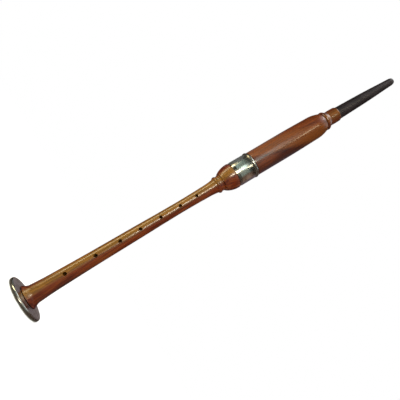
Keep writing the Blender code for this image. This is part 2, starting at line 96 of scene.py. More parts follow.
def lathe(name, outline, sides, material, offset=None):  # offset() adds to the radius
    points = []
    faces = []
    count = len(outline)
    for radius, height in outline:
        for j in range(sides):
            angle = 2 * math.pi * j / sides
            r = radius + (offset(angle, radius, height) if offset else 0)
            points.append((r * math.cos(angle) * mm, r * math.sin(angle) * mm, height * mm))
    for i in range(count):
        for j in range(sides):
            k = (i + 1) % count
            m = (j + 1) % sides
            faces.append((i * sides + j, i * sides + m, k * sides + m, k * sides + j))
    return finishMesh(name, points, faces, material)


def cutWith(piece, cutters):  # Boolean cuts made real
    for cutter in cutters:
        cut = piece.modifiers.new(cutter.name, "BOOLEAN")
        cut.operation = "DIFFERENCE"
        cut.solver = "EXACT"
        cut.object = cutter
    graph = bpy.context.evaluated_depsgraph_get()
    mesh = bpy.data.meshes.new_from_object(piece.evaluated_get(graph))
    piece.modifiers.clear()
    piece.data = mesh
    shadeMesh(mesh)
    for cutter in cutters:
        bpy.data.objects.remove(cutter)


def seat(piece, body, slot, *nodes):  # rides and stands for its CAD nodes
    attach(piece, body)
    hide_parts(*nodes)
    return piece


# Material helpers

def hexColor(code):  # sRGB hex to linear
    channels = [int(code[i:i + 2], 16) / 255 for i in (1, 3, 5)]
    return tuple(c / 12.92 if c <= 0.04045 else ((c + 0.055) / 1.055) ** 2.4 for c in channels) + (1.0,)


def addNode(tree, kind, inputs=None, **settings):
    node = tree.nodes.new(kind)
    for key, value in settings.items():
        setattr(node, key, value)
    for key, value in (inputs or {}).items():
        if isinstance(value, bpy.types.NodeSocket):
            tree.links.new(value, node.inputs[key])
        else:
            node.inputs[key].default_value = value
    return node


def emptyMaterial(name):
    material = bpy.data.materials.new(name)
    material.use_nodes = True
    material.node_tree.nodes.clear()
    return material, material.node_tree


def newMaterial(name):
    material, tree = emptyMaterial(name)
    shader = addNode(tree, "ShaderNodeBsdfPrincipled")
    addNode(tree, "ShaderNodeOutputMaterial", {"Surface": shader.outputs[0]})
    return material, tree, shader


# Links colour, a roughness that follows a pattern between two values, and a bump of some depth
def dressShader(tree, shader, color, pattern, low, high, height, strength, depth, span=(0.0, 1.0)):
    tree.links.new(color, shader.inputs["Base Color"])
    rough = addNode(tree, "ShaderNodeMapRange", {0: pattern, 1: span[0], 2: span[1], 3: low, 4: high})
    tree.links.new(rough.outputs[0], shader.inputs["Roughness"])
    bump = addNode(tree, "ShaderNodeBump", {"Height": height, "Strength": strength, "Distance": depth})
    tree.links.new(bump.outputs[0], shader.inputs["Normal"])


def setRamp(node, stops):
    ramp = node.color_ramp
    while len(ramp.elements) > 1:
        ramp.elements.remove(ramp.elements[-1])
    ramp.elements[0].position = stops[0][0]
    ramp.elements[0].color = stops[0][1]
    for place, color in stops[1:]:
        ramp.elements.new(place).color = color
    return node


def grey(value):
    return (value, value, value, 1.0)


def colorMix(tree, factor, a, b, blend="MIX"):
    node = addNode(tree, "ShaderNodeMix", {0: factor, 6: a, 7: b}, data_type="RGBA", blend_type=blend)
    return node.outputs[2]


def objectSpace(tree, scale, shift=(0, 0, 0), turn=(0, 0, 0)):
    place = addNode(tree, "ShaderNodeTexCoord")
    return addNode(tree, "ShaderNodeMapping", {
        "Vector": place.outputs["Object"], "Scale": scale, "Location": shift, "Rotation": turn,
    }).outputs[0]


# Varnished rosewood, turned and polished: red-brown heartwood with dark streaks along the bore and fine open
# pores, and a paler band with wavy borders, partly sapwood and partly painted sheen where the lamps fall,
# all under a thin amber varnish with narrow highlights.
# The band's middle and half width are millimetres across the piece, and slope moves it as it rises.
def rosewood(name, dark, middle, light, streaks, shift, pale, band):
    material, tree, shader = newMaterial(name)
    ring = 1 / (6.0 * mm)  # growth rings 6 mm apart, drawn out along the bore
    figure = addNode(tree, "ShaderNodeTexNoise", {
        "Vector": objectSpace(tree, (ring, ring, ring / 14), shift), "Scale": 1.0, "Detail": 3.0,
        "Roughness": 0.55, "Distortion": 1.1,
    })
    fine = 1 / (0.9 * mm)  # grain lines about 1 mm wide and 30 mm long
    grain = addNode(tree, "ShaderNodeTexNoise", {
        "Vector": objectSpace(tree, (fine, fine, fine / 32), shift), "Scale": 1.0, "Detail": 4.0,
        "Roughness": 0.6,
    })
    pore = 1 / (0.35 * mm)  # open pores 0.35 mm wide, drawn a little coarse to show
    pores = addNode(tree, "ShaderNodeTexNoise", {
        "Vector": objectSpace(tree, (pore, pore, pore / 16)), "Scale": 1.0, "Detail": 2.0,
    })
    base = setRamp(addNode(tree, "ShaderNodeValToRGB", {0: figure.outputs[0]}), [
        (0.34, hexColor(dark)), (0.5, hexColor(middle)), (0.66, hexColor(light)),
    ]).outputs[0]
    veins = setRamp(addNode(tree, "ShaderNodeValToRGB", {0: grain.outputs[0]}), [
        (0.36, grey(0.45)), (0.52, grey(0.95)), (0.7, grey(1.3)),
    ]).outputs[0]
    poreMask = setRamp(addNode(tree, "ShaderNodeValToRGB", {0: pores.outputs[0]}), [
        (0.3, grey(0.35)), (0.42, grey(1.0)),
    ]).outputs[0]
    wide = addNode(tree, "ShaderNodeTexNoise", {
        "Vector": objectSpace(tree, (70, 70, 14), shift), "Scale": 1.0, "Detail": 2.0,
    })
    streakMask = setRamp(addNode(tree, "ShaderNodeValToRGB", {0: wide.outputs[0]}), [
        (0.42, grey(0.0)), (0.58, grey(1.0)),
    ]).outputs[0]
    color = colorMix(tree, streaks, base, colorMix(tree, streakMask, hexColor(dark), hexColor(light)))
    across = addNode(tree, "ShaderNodeSeparateXYZ", {
        0: addNode(tree, "ShaderNodeTexCoord").outputs["Object"],
    })
    slant = addNode(tree, "ShaderNodeMath", {
        0: across.outputs[2], 1: -band["slope"], 2: across.outputs[0],
    }, operation="MULTIPLY_ADD")
    waves = 6 * mm  # how far the band's borders wander
    wavy = addNode(tree, "ShaderNodeMath", {
        0: wide.outputs[0], 1: waves, 2: slant.outputs[0],
    }, operation="MULTIPLY_ADD")
    away = addNode(tree, "ShaderNodeMath", {
        0: wavy.outputs[0], 1: band["middle"] * mm + waves / 2,
    }, operation="SUBTRACT")
    away = addNode(tree, "ShaderNodeMath", {0: away.outputs[0]}, operation="ABSOLUTE")
    soft = 2  # millimetres over which it fades, on each side of its border
    # The paler band: partly sapwood, partly painted sheen where the lamps fall on the piece
    sapwoodAndSheenMask = addNode(tree, "ShaderNodeMapRange", {
        0: away.outputs[0], 1: (band["half"] - soft) * mm, 2: (band["half"] + soft) * mm,
        3: band["share"], 4: 0.0,
    })
    # mixes in the paler band, sapwood with painted sheen
    color = colorMix(tree, sapwoodAndSheenMask.outputs[0], color, hexColor(pale))
    color = colorMix(tree, 0.8, color, veins, "MULTIPLY")
    color = colorMix(tree, 0.45, color, poreMask, "MULTIPLY")
    edge = setRamp(addNode(tree, "ShaderNodeValToRGB", {
        0: addNode(tree, "ShaderNodeNewGeometry").outputs["Pointiness"],
    }), [(0.515, grey(0.0)), (0.56, grey(0.14))]).outputs[0]  # varnish rubbed thin on the beads
    color = colorMix(tree, edge, color, hexColor(light))
    dressShader(tree, shader, color, figure.outputs[0], 0.26, 0.4, poreMask, 0.12, 0.06 * mm)
    shader.inputs["IOR"].default_value = 1.52
    shader.inputs["Coat Weight"].default_value = 0.4
    shader.inputs["Coat Roughness"].default_value = 0.14
    shader.inputs["Coat IOR"].default_value = 1.5
    return material


# Nickel silver, spun and polished, then handled: a white metal with a faint green cast, fine turning
# lines round it, small scratches and a brownish tarnish in patches.
def nickelSilver():
    material, tree, shader = newMaterial("spun_nickel_silver")
    patches = addNode(tree, "ShaderNodeTexNoise", {
        "Vector": objectSpace(tree, (130, 130, 130)), "Scale": 1.0, "Detail": 5.0, "Roughness": 0.6,
    })
    line = 1 / (0.5 * mm)  # turning lines 0.5 mm apart, coarser than the tool left them
    lines = addNode(tree, "ShaderNodeTexNoise", {
        "Vector": objectSpace(tree, (20, 20, line)), "Scale": 1.0, "Detail": 3.0, "Roughness": 0.7,
    })
    scratch = addNode(tree, "ShaderNodeTexNoise", {
        "Vector": objectSpace(tree, (2600, 2600, 160), turn=(0.5, 0.3, 0.2)), "Scale": 1.0, "Detail": 2.0,
    })
    tarnish = setRamp(addNode(tree, "ShaderNodeValToRGB", {0: patches.outputs[0]}), [
        (0.4, grey(0.0)), (0.62, grey(0.75)),
    ]).outputs[0]
    color = colorMix(tree, tarnish, hexColor("#CBD0CB"), hexColor("#968F80"))
    lineTone = setRamp(addNode(tree, "ShaderNodeValToRGB", {0: lines.outputs[0]}), [
        (0.3, grey(0.82)), (0.7, grey(1.0)),
    ]).outputs[0]
    color = colorMix(tree, 0.7, color, lineTone, "MULTIPLY")
    height = addNode(tree, "ShaderNodeMath", {0: lines.outputs[0], 1: scratch.outputs[0]}, operation="ADD")
    dressShader(tree, shader, color, patches.outputs[0], 0.14, 0.34, height.outputs[0], 0.14, 0.05 * mm,
                span=(0.3, 0.7))
    shader.inputs["Metallic"].default_value = 1.0
    return material


# Black moulded hard rubber, turned and rubbed matt: near black with a warm purple cast, faint lines
# round it and a greyer bloom where it is handled.
def hardRubber():
    material, tree, shader = newMaterial("turned_hard_rubber")
    bloom = addNode(tree, "ShaderNodeTexNoise", {
        "Vector": objectSpace(tree, (160, 160, 60)), "Scale": 1.0, "Detail": 4.0,
    })
    line = 1 / (0.45 * mm)  # tool lines 0.45 mm apart
    lines = addNode(tree, "ShaderNodeTexNoise", {
        "Vector": objectSpace(tree, (30, 30, line)), "Scale": 1.0, "Detail": 2.0,
    })
    color = setRamp(addNode(tree, "ShaderNodeValToRGB", {0: bloom.outputs[0]}), [
        (0.35, hexColor("#170F12")), (0.65, hexColor("#251B1E")),
    ]).outputs[0]
    dressShader(tree, shader, color, bloom.outputs[0], 0.32, 0.5, lines.outputs[0], 0.15, 0.04 * mm)
    shader.inputs["IOR"].default_value = 1.54
    return material


# Waxed thread, wound by hand: short fibres along the turns, uneven dye and a dull waxy gloss.
def waxedThread(name, dark, light):
    material, tree, shader = newMaterial(name)
    fibre = 1 / (0.12 * mm)  # fibres 0.12 mm wide across the turn
    fibres = addNode(tree, "ShaderNodeTexNoise", {
        "Vector": objectSpace(tree, (fibre / 6, fibre / 6, fibre)), "Scale": 1.0, "Detail": 3.0,
    })
    dye = addNode(tree, "ShaderNodeTexNoise", {
        "Vector": objectSpace(tree, (300, 300, 300)), "Scale": 1.0, "Detail": 2.0,
    })
    mixed = addNode(tree, "ShaderNodeMath", {0: fibres.outputs[0], 1: dye.outputs[0]}, operation="MULTIPLY")
    color = setRamp(addNode(tree, "ShaderNodeValToRGB", {0: mixed.outputs[0]}), [
        (0.12, hexColor(dark)), (0.38, hexColor(light)),
    ]).outputs[0]
    dressShader(tree, shader, color, dye.outputs[0], 0.5, 0.75, fibres.outputs[0], 0.4, 0.05 * mm)
    shader.inputs["Sheen Weight"].default_value = 0.25
    return material


# Drawn brass tube: yellow metal with fine lines along it and a dull brown bloom.
def drawnBrass():
    material, tree, shader = newMaterial("drawn_brass")
    bloom = addNode(tree, "ShaderNodeTexNoise", {
        "Vector": objectSpace(tree, (500, 500, 500)), "Scale": 1.0, "Detail": 3.0,
    })
    drawn = addNode(tree, "ShaderNodeTexNoise", {
        "Vector": objectSpace(tree, (6000, 6000, 120)), "Scale": 1.0, "Detail": 2.0,
    })
    color = setRamp(addNode(tree, "ShaderNodeValToRGB", {0: bloom.outputs[0]}), [
        (0.35, hexColor("#C9A35A")), (0.7, hexColor("#8E6A34")),
    ]).outputs[0]
    dressShader(tree, shader, color, bloom.outputs[0], 0.22, 0.45, drawn.outputs[0], 0.15, 0.03 * mm)
    shader.inputs["Metallic"].default_value = 1.0
    return material


# Reed cane, split and scraped: straw yellow with fibres along the blade and darker bark flecks.
def scrapedCane():
    material, tree, shader = newMaterial("scraped_cane")
    fibre = 1 / (0.25 * mm)  # cane fibres 0.25 mm apart
    fibres = addNode(tree, "ShaderNodeTexNoise", {
        "Vector": objectSpace(tree, (fibre, fibre, fibre / 40)), "Scale": 1.0, "Detail": 3.0,
    })
    flecks = addNode(tree, "ShaderNodeTexNoise", {
        "Vector": objectSpace(tree, (900, 900, 260)), "Scale": 1.0, "Detail": 2.0,
    })
    base = setRamp(addNode(tree, "ShaderNodeValToRGB", {0: fibres.outputs[0]}), [
        (0.3, hexColor("#A87C3E")), (0.5, hexColor("#D2A862")), (0.7, hexColor("#E6C98C")),
    ]).outputs[0]
    fleck = setRamp(addNode(tree, "ShaderNodeValToRGB", {0: flecks.outputs[0]}), [
        (0.3, grey(0.55)), (0.4, grey(1.0)),
    ]).outputs[0]
    color = colorMix(tree, 0.8, base, fleck, "MULTIPLY")
    dressShader(tree, shader, color, fibres.outputs[0], 0.45, 0.65, fibres.outputs[0], 0.3, 0.05 * mm)
    return material


# Pale bands, part sapwood and part painted sheen: the stem's left facing the soft box, slanting over the
# barrel, the mount's front
stemWood = rosewood("varnished_rosewood_stem", "#3E1006", "#621E04", "#7E3A08", 0.25, (3.0, 1.0, 0.0),
                    "#845C16", {"middle": -2.6, "slope": 0.0, "half": 4.2, "share": 0.85})
barrelWood = rosewood("varnished_rosewood_barrel", "#2C0A05", "#541C04", "#743606", 0.6, (7.3, 2.2, 4.1),
                      "#80440A", {"middle": -80.3, "slope": 0.24, "half": 8.5, "share": 0.7})
mountWood = rosewood("varnished_rosewood_mount", "#34100A", "#5C2408", "#7A3E0A", 0.3, (1.0, 5.0, 2.0),
                     "#7C4A10", {"middle": 0.4, "slope": 0.0, "half": 4.0, "share": 0.85})
nickel = nickelSilver()
rubber = hardRubber()
hemp = waxedThread("waxed_hemp", "#7A5A28", "#C39C56")
redThread = waxedThread("waxed_red_thread", "#4E0D0C", "#9A2A22")
brass = drawnBrass()
cane = scrapedCane()
print("materials made")


# Sole: a spun disc with a rolled rim, crowned towards the stem's foot
sole = {
    "diameter": 51.4, "thickness": 4.4, "crown": 0.9, "topRound": 1.9, "bottomRound": 0.7,
    "bore": 15.6, "seat": 27.0, "sides": 192,
}


def makeSole():
    p = sole
    radius = p["diameter"] / 2
    top = p["thickness"] + p["crown"]
    outline = [(p["bore"] / 2, 0.0)]
    outline += arcPoints(radius - p["bottomRound"], p["bottomRound"], p["bottomRound"], -90, 0, 8)
    outline += arcPoints(radius - p["topRound"], p["thickness"] - p["topRound"], p["topRound"], 0, 90, 16)
    start = radius - p["topRound"]
    for i in range(1, 13):  # the crown eases in and out
        t = i / 12
        ease = t * t * (3 - 2 * t)
        outline.append((start + (p["seat"] / 2 - start) * t, p["thickness"] + p["crown"] * ease))
    outline += [(p["bore"] / 2, top)]
    return seat(lathe("sole_disc", outline, p["sides"], nickel), "chanter", "nickel", "sole")


# Stem: foot, long taper with the finger holes, bead, thin ring, bulb and tenon
stem = {
    "spigot": 15.0, "recess": 0.5, "bottom": 5.6, "flareDiameter": 27.0, "flareTop": 13.2,
    "taper": [(20.5, 13.2), (18.5, 29.2), (17.4, 48.3), (15.7, 83.4), (14.9, 112.4), (14.3, 136.8),
              (13.4, 162.2), (13.0, 186.9), (13.5, 208.3), (14.1, 218.3)],
    "holes": [(48.3, 4.2), (83.4, 4.1), (112.4, 4.0), (136.8, 4.0), (162.2, 3.8), (186.9, 3.6),
              (208.3, 3.2)],  # (height, diameter)
    "thumb": (218.3, 3.6), "holeEase": 0.45, "holeSides": 40, "footRound": 0.4, "tenonRound": 0.5,
    "beadHeight": 235.9, "bead": 19.8, "beadRadius": 2.1, "beadFlare": 16.6, "neck": 18.0,
    "ringHeight": 240.7, "ring": 19.2, "ringRadius": 0.75,
    "bulbBottom": 242.2, "bulb": 30.1, "shoulder": 257.9, "lengthening": 1.37, "bulbRound": 0.7,
    "tenon": 16.4, "tenonTop": 279.9, "land": 2.4, "windingDepth": 0.9,
    "seatBore": 6.2, "seatFloor": 270.4, "bore": 4.6, "sides": 160,
}


def makeStem():
    p = stem
    outline = [(p["spigot"] / 2, p["recess"]), (p["spigot"] / 2, p["bottom"])]
    edge = p["flareDiameter"] / 2
    low = p["bottom"] + p["footRound"]
    outline += arcPoints(edge - p["footRound"], low, p["footRound"], -90, 0, 4)
    first = p["taper"][0]
    outline += flare((edge, low), (first[0] / 2, first[1]), 1.75, 16)[1:]
    outline += easeCurve(p["taper"], 5)[1:]
    last = p["taper"][-1]
    foot = p["beadHeight"] - p["beadRadius"]
    outline += reversed(flare((p["beadFlare"] / 2, foot), (last[0] / 2, last[1]), 2.2, 16)[:-1])
    outline += arcPoints(p["bead"] / 2 - p["beadRadius"], p["beadHeight"], p["beadRadius"], -60, 55, 18)
    outline += [(p["neck"] / 2, p["ringHeight"] - p["ringRadius"])]
    outline += arcPoints(p["ring"] / 2 - p["ringRadius"], p["ringHeight"], p["ringRadius"], -50, 70, 10)
    outline += [(p["neck"] / 2, p["bulbBottom"])]
    height = p["shoulder"] - p["bulbBottom"]
    half = height * p["lengthening"]
    bulb = p["bulb"] / 2
    for i in range(21):
        drop = (height - p["bulbRound"]) * (1 - i / 20)
        outline.append((bulb * math.cos(math.asin(drop / half)), p["shoulder"] - p["bulbRound"] - drop))
    outline += arcPoints(bulb - p["bulbRound"], p["shoulder"] - p["bulbRound"], p["bulbRound"], 0, 90, 6)[1:]
    tenon = p["tenon"] / 2
    floor = tenon - p["windingDepth"]
    low = p["shoulder"] + p["land"]
    high = p["tenonTop"] - p["land"]
    half = p["windingDepth"] / 2
    outline += [(tenon, p["shoulder"]), (tenon, low)]
    outline += [(floor, low + half), (floor, high - half), (tenon, high)]
    outline += arcPoints(tenon - p["tenonRound"], p["tenonTop"] - p["tenonRound"], p["tenonRound"], 0, 90, 4)
    outline += [(p["seatBore"] / 2, p["tenonTop"]), (p["seatBore"] / 2, p["seatFloor"])]
    outline += [(p["bore"] / 2, p["seatFloor"]), (p["bore"] / 2, p["recess"])]
    piece = lathe("turned_stem", outline, p["sides"], stemWood)
    cutters = []
    for height, diameter, side in [(h, d, -1) for h, d in p["holes"]] + [(*p["thumb"], 1)]:
        surface = next(a[0] + (b[0] - a[0]) * (height - a[1]) / (b[1] - a[1])
                       for a, b in zip(p["taper"], p["taper"][1:]) if a[1] <= height <= b[1]) / 2
        ease = p["holeEase"]
        depth = ease * 1.6
        radius = diameter / 2
        beyond = surface + 1.5
        shape = [(radius, 0.0), (radius, surface - depth)]
        for a in (0.4, 0.8, 1.2):  # the eased rim
            shape.append((radius + ease - ease * math.cos(a), surface - depth + depth * math.sin(a)))
        shape += [(radius + ease, beyond), (0.02, beyond), (0.02, 0.0)]
        cutter = lathe("hole", shape, p["holeSides"], stemWood)
        turn = Matrix.Rotation(math.radians(90 if side < 0 else -90), 4, "X")
        cutter.matrix_world = Matrix.Translation((0, 0, height * mm)) @ turn
        cutters.append(cutter)
    bpy.context.view_layer.update()
    cutWith(piece, cutters)
    return seat(piece, "chanter", "stem_wood", "chanter_stem")


# Thread windings: one thread in close turns, each layer a helix
windings = {
    "tenon_hemp": {"bore": 7.6, "crest": 8.45, "low": 261.05, "high": 276.75, "pitch": 0.62,
                   "body": "chanter"},
    "mount_hemp": {"bore": 5.4, "crest": 6.05, "low": 374.05, "high": 385.75, "pitch": 0.55,
                   "body": "mouthpiece"},
    "reed_seat_hemp": {"bore": 2.4, "crest": 2.9, "low": 271.5, "high": 279.1, "pitch": 0.42, "body": "reed"},
    "reed_binding": {"bore": 3.3, "crest": 3.85, "low": 284.05, "high": 294.05, "pitch": 0.4, "body": "reed"},
}


def makeWinding(node, material, slot):
    p = windings[node]
    depth = p["pitch"] * 0.22  # of the hollow between turns
    length = p["high"] - p["low"]
    rows = int(length / p["pitch"] * 6)

    def wound(angle, radius, height):
        if radius < p["crest"] - depth - 0.1:
            return 0.0
        turn = height / p["pitch"] - angle / (2 * math.pi)
        uneven = noise.noise(Vector((math.cos(angle) * 2, math.sin(angle) * 2, height * 0.9))) * 0.03
        return -depth * (1 - abs(math.sin(math.pi * turn))) + uneven - 0.03

    outline = [(p["bore"], p["low"]), (p["crest"] - depth, p["low"])]
    for i in range(1, rows):
        t = i / rows
        drop = depth * max(0.0, abs(2 * t - 1) * 8 - 7)  # the end turns lie lower
        outline.append((p["crest"] - drop, p["low"] + length * t))
    outline += [(p["crest"] - depth, p["high"]), (p["bore"], p["high"])]
    piece = lathe(node + "_thread", outline, 96, material, wound)
    return seat(piece, p["body"], slot, node)


# Reed: brass staple and two scraped blades
reed = {
    "staple": 4.4, "stapleWall": 0.45, "stapleLow": 270.7, "stapleHigh": 292.7, "stapleEdge": 0.1,
    "bladeLow": 283.3, "bladeLength": 31.0, "bound": 11.5, "wall": 0.7, "tipWall": 0.35,
    "radius": 3.1, "tipWidth": 11.6, "tipDepth": 1.7, "gap": 0.2,
}


def makeStaple():
    p = reed
    outer = p["staple"] / 2
    inner = outer - p["stapleWall"]
    edge = p["stapleEdge"]
    low = p["stapleLow"]
    high = p["stapleHigh"]
    outline = [(outer - edge, low), (outer, low + edge), (outer, high - edge), (outer - edge, high)]
    outline += [(inner, high), (inner, low)]
    return seat(lathe("drawn_staple", outline, 64, brass), "reed", "staple_brass", "reed_staple")


def makeBlade(node, side):
    p = reed
    across = 24
    free = p["bladeLength"] - p["bound"]
    steps = [(0.0, 0.0), (p["bound"] / 2, 0.0)] + [(p["bound"] + free * i / 28, i / 28) for i in range(29)]
    points = []
    for run, t in steps:
        height = p["bladeLow"] + run
        ease = t * t * (3 - 2 * t)
        width = p["radius"] + (p["tipWidth"] / 2 - p["radius"]) * ease
        depth = p["radius"] + (p["tipDepth"] / 2 - p["radius"]) * ease
        wall = p["wall"] + (p["tipWall"] - p["wall"]) * t
        for w, d, inwards in ((width, depth, False), (width - wall, depth - wall, True)):
            first = math.asin(p["gap"] / 2 / d)
            angles = [first + (math.pi - 2 * first) * i / across for i in range(across + 1)]
            for a in reversed(angles) if inwards else angles:
                points.append((w * math.cos(a) * mm, side * d * math.sin(a) * mm, height * mm))
    around = 2 * (across + 1)
    faces = []
    for i in range(len(steps) - 1):
        for j in range(around):
            k = (j + 1) % around
            quad = (i * around + j, i * around + k, (i + 1) * around + k, (i + 1) * around + j)
            faces.append(quad if side > 0 else quad[::-1])
    for start, up in ((0, False), ((len(steps) - 1) * around, True)):
        for j in range(across):
            quad = (start + j, start + j + 1, start + around - 2 - j, start + around - 1 - j)
            faces.append(quad if up == (side > 0) else quad[::-1])
    return seat(finishMesh(node + "_cane", points, faces, cane), "reed", "cane", node)


# Ferrule: a spun sleeve with a leaning lip and a bead
ferrule = {
    "diameter": 29.7, "low": 258.2, "high": 283.9, "bore": 26.9, "lipHeight": 3.6, "lean": 0.35,
    "edge": 0.3, "bead": 31.1, "beadRadius": 2.1, "groove": 0.25, "grooveWidth": 0.6, "sides": 160,
}


def makeFerrule():
    p = ferrule
    radius = p["diameter"] / 2
    lip = radius - p["lean"]
    beadHeight = p["high"] - p["beadRadius"]
    groove = beadHeight - p["beadRadius"]
    outline = arcPoints(lip - p["edge"], p["low"] + p["edge"], p["edge"], -90, 0, 5)
    outline += [(radius - 0.05, p["low"] + p["lipHeight"] - 0.3), (radius, p["low"] + p["lipHeight"] + 0.1)]
    outline += [(radius, groove - p["grooveWidth"] - 0.2), (radius - p["groove"], groove - 0.1)]
    outline += arcPoints(p["bead"] / 2 - p["beadRadius"], beadHeight, p["beadRadius"], -60, 75, 24)
    outline += [(p["bore"] / 2, p["high"]), (p["bore"] / 2, p["low"])]
    return seat(lathe("spun_ferrule", outline, p["sides"], nickel), "top_section", "nickel", "ferrule")


# Barrel: the thick tube, with a socket below, the air chamber and the mount's socket above
barrel = {
    "low": 258.2, "high": 388.1, "spigot": 26.3, "stepUp": 284.2, "diameter": 29.0, "belly": 29.3,
    "bellyHeight": 334.2, "shoulderDiameter": 28.2, "shoulderHeight": 15.7, "end": 22.4,
    "socket": 17.4, "socketEnd": 281.1, "chamber": 15.4, "chamberEnd": 366.6, "topBore": 12.6,
    "boreEnd": 371.1, "stepRound": 0.25, "sides": 160,
}


def makeBarrel():
    p = barrel
    shoulder = p["high"] - p["shoulderHeight"]
    outline = [(p["socket"] / 2, p["low"]), (p["spigot"] / 2, p["low"]), (p["spigot"] / 2, p["stepUp"])]
    low = p["stepUp"] + p["stepRound"]
    outline += arcPoints(p["diameter"] / 2 - p["stepRound"], low, p["stepRound"], -90, 0, 4)
    outline += easeCurve([
        (p["diameter"], low), (p["belly"], p["bellyHeight"]), (p["shoulderDiameter"], shoulder),
    ], 14)[1:]
    end = p["end"] / 2
    for i in range(1, 21):
        t = i / 20
        swell = (p["shoulderDiameter"] / 2 - end) * (1 - t * t)
        outline.append((end + swell, shoulder + p["shoulderHeight"] * t))
    outline += [(p["topBore"] / 2, p["high"]), (p["topBore"] / 2, p["boreEnd"])]
    outline += [(p["chamber"] / 2, p["chamberEnd"]), (p["chamber"] / 2, p["socketEnd"])]
    outline += [(p["socket"] / 2, p["socketEnd"])]
    piece = lathe("turned_barrel", outline, p["sides"], barrelWood)
    return seat(piece, "top_section", "barrel_wood", "barrel")


# Mount: tenon, groove, ring, cove and collar
mount = {
    "tenon": 11.6, "tenonLow": 371.4, "bottom": 388.4, "land": 2.0, "windingDepth": 0.7, "bore": 5.0,
    "groove": 19.0, "grooveHeight": 0.9, "ring": 23.0, "ringRadius": 2.2, "ringHeight": 391.5,
    "collarLow": 398.1, "collarHigh": 410.7, "collar": 17.6, "belly": 0.15, "collarRound": 1.0,
    "socket": 10.0, "socketFloor": 400.2, "tenonEdge": 0.4, "sides": 144,
}


def makeMount():
    p = mount
    tenon = p["tenon"] / 2
    floor = tenon - p["windingDepth"]
    low = p["tenonLow"] + p["land"]
    high = p["bottom"] - p["land"]
    half = p["windingDepth"] / 2
    collar = p["collar"] / 2
    outline = [(tenon - p["tenonEdge"], p["tenonLow"]), (tenon, p["tenonLow"] + p["tenonEdge"])]
    outline += [(tenon, low), (floor, low + half), (floor, high - half), (tenon, high)]
    outline += [(tenon, p["bottom"]), (p["groove"] / 2, p["bottom"])]
    outline += [(p["groove"] / 2, p["bottom"] + p["grooveHeight"])]
    outline += arcPoints(p["ring"] / 2 - p["ringRadius"], p["ringHeight"], p["ringRadius"], -70, 60, 24)
    outline += flare(outline[-1], (collar, p["collarLow"]), 2.0, 14)[1:]
    roundLow = p["collarHigh"] - p["collarRound"]
    rise = roundLow - p["collarLow"]
    for i in range(1, 10):
        t = i / 10
        outline.append((collar + p["belly"] * math.sin(math.pi * t), p["collarLow"] + rise * t))
    outline += arcPoints(collar - p["collarRound"], roundLow, p["collarRound"], 0, 90, 8)
    outline += [(p["socket"] / 2, p["collarHigh"]), (p["socket"] / 2, p["socketFloor"])]
    outline += [(p["bore"] / 2, p["socketFloor"]), (p["bore"] / 2, p["tenonLow"])]
    piece = lathe("turned_mount", outline, p["sides"], mountWood)
    return seat(piece, "mouthpiece", "barrel_wood", "mouthpiece_mount")


# Mouthpiece: a tapered tube with a rounded tip
mouthpiece = {
    "spigot": 9.4, "spigotLow": 400.5, "low": 411.0, "high": 501.9, "diameter": 15.3,
    "middle": 13.3, "middleHeight": 450.5, "tip": 9.4, "tipRound": 7.0, "bore": 5.0, "lip": 0.7,
    "lowRound": 0.3, "sides": 144,
}


def makeMouthpiece():
    p = mouthpiece
    roundStart = p["high"] - p["tipRound"]
    bore = p["bore"] / 2
    lip = bore + p["lip"]
    outline = [(p["spigot"] / 2, p["spigotLow"]), (p["spigot"] / 2, p["low"])]
    low = p["low"] + p["lowRound"]
    outline += arcPoints(p["diameter"] / 2 - p["lowRound"], low, p["lowRound"], -90, 0, 4)
    outline += easeCurve([
        (p["diameter"], low), (p["middle"], p["middleHeight"]), (p["tip"], roundStart),
    ], 16)[1:]
    for i in range(1, 19):
        a = i / 18 * math.pi / 2
        outline.append((lip + (p["tip"] / 2 - lip) * math.cos(a), roundStart + p["tipRound"] * math.sin(a)))
    outline += [(bore, p["high"] - p["lip"]), (bore, p["spigotLow"])]
    piece = lathe("tapered_mouthpiece", outline, p["sides"], rubber)
    return seat(piece, "mouthpiece", "mouthpiece_black", "mouthpiece_tube")


makeSole()
makeStem()
makeWinding("tenon_hemp", hemp, "hemp")
makeWinding("mount_hemp", hemp, "hemp")
makeWinding("reed_seat_hemp", hemp, "hemp")
makeWinding("reed_binding", redThread, "thread")
makeStaple()
makeBlade("reed_blade_front", -1)
makeBlade("reed_blade_back", 1)
makeFerrule()
makeBarrel()
makeMount()
makeMouthpiece()
print("pieces made")


# Camera, at the photograph's viewing angle and rolled as it was held. Focal length, frame width and the
# sideways aim are pixels.
camera = {
    "distance": 468.0, "height": 106.5, "azimuth": 10.7, "rise": 12.5, "roll": 30.89,
    "focal": 430.0, "frame": 400.0, "sensor": 36.0, "aside": 4.28,
}


def makeCamera():
    p = camera
    a = math.radians(p["azimuth"])
    rise = math.radians(p["rise"])
    yaw = math.atan(p["aside"] / p["focal"])
    roll = math.radians(p["roll"])
    inwards = Vector((-math.sin(a), math.cos(a), 0))
    right = Vector((math.cos(a), math.sin(a), 0))
    level = inwards * math.cos(yaw) + right * math.sin(yaw)
    forward = level * math.cos(rise) + Vector((0, 0, math.sin(rise)))
    side = forward.cross(Vector((0, 0, 1))).normalized()
    up = side.cross(forward)
    camRight = up * math.cos(roll) + side * math.sin(roll)
    camUp = up * math.sin(roll) - side * math.cos(roll)
    data = bpy.data.cameras.new("camera")
    data.sensor_width = p["sensor"]
    data.lens = p["focal"] / p["frame"] * p["sensor"]
    data.clip_start = 0.01
    item = bpy.data.objects.new("camera", data)
    bpy.context.scene.collection.objects.link(item)
    turn = Matrix((camRight, camUp, -forward)).transposed().to_4x4()
    place = -inwards * p["distance"] * mm + Vector((0, 0, p["height"] * mm))
    item.matrix_world = Matrix.Translation(place) @ turn
    bpy.context.scene.camera = item


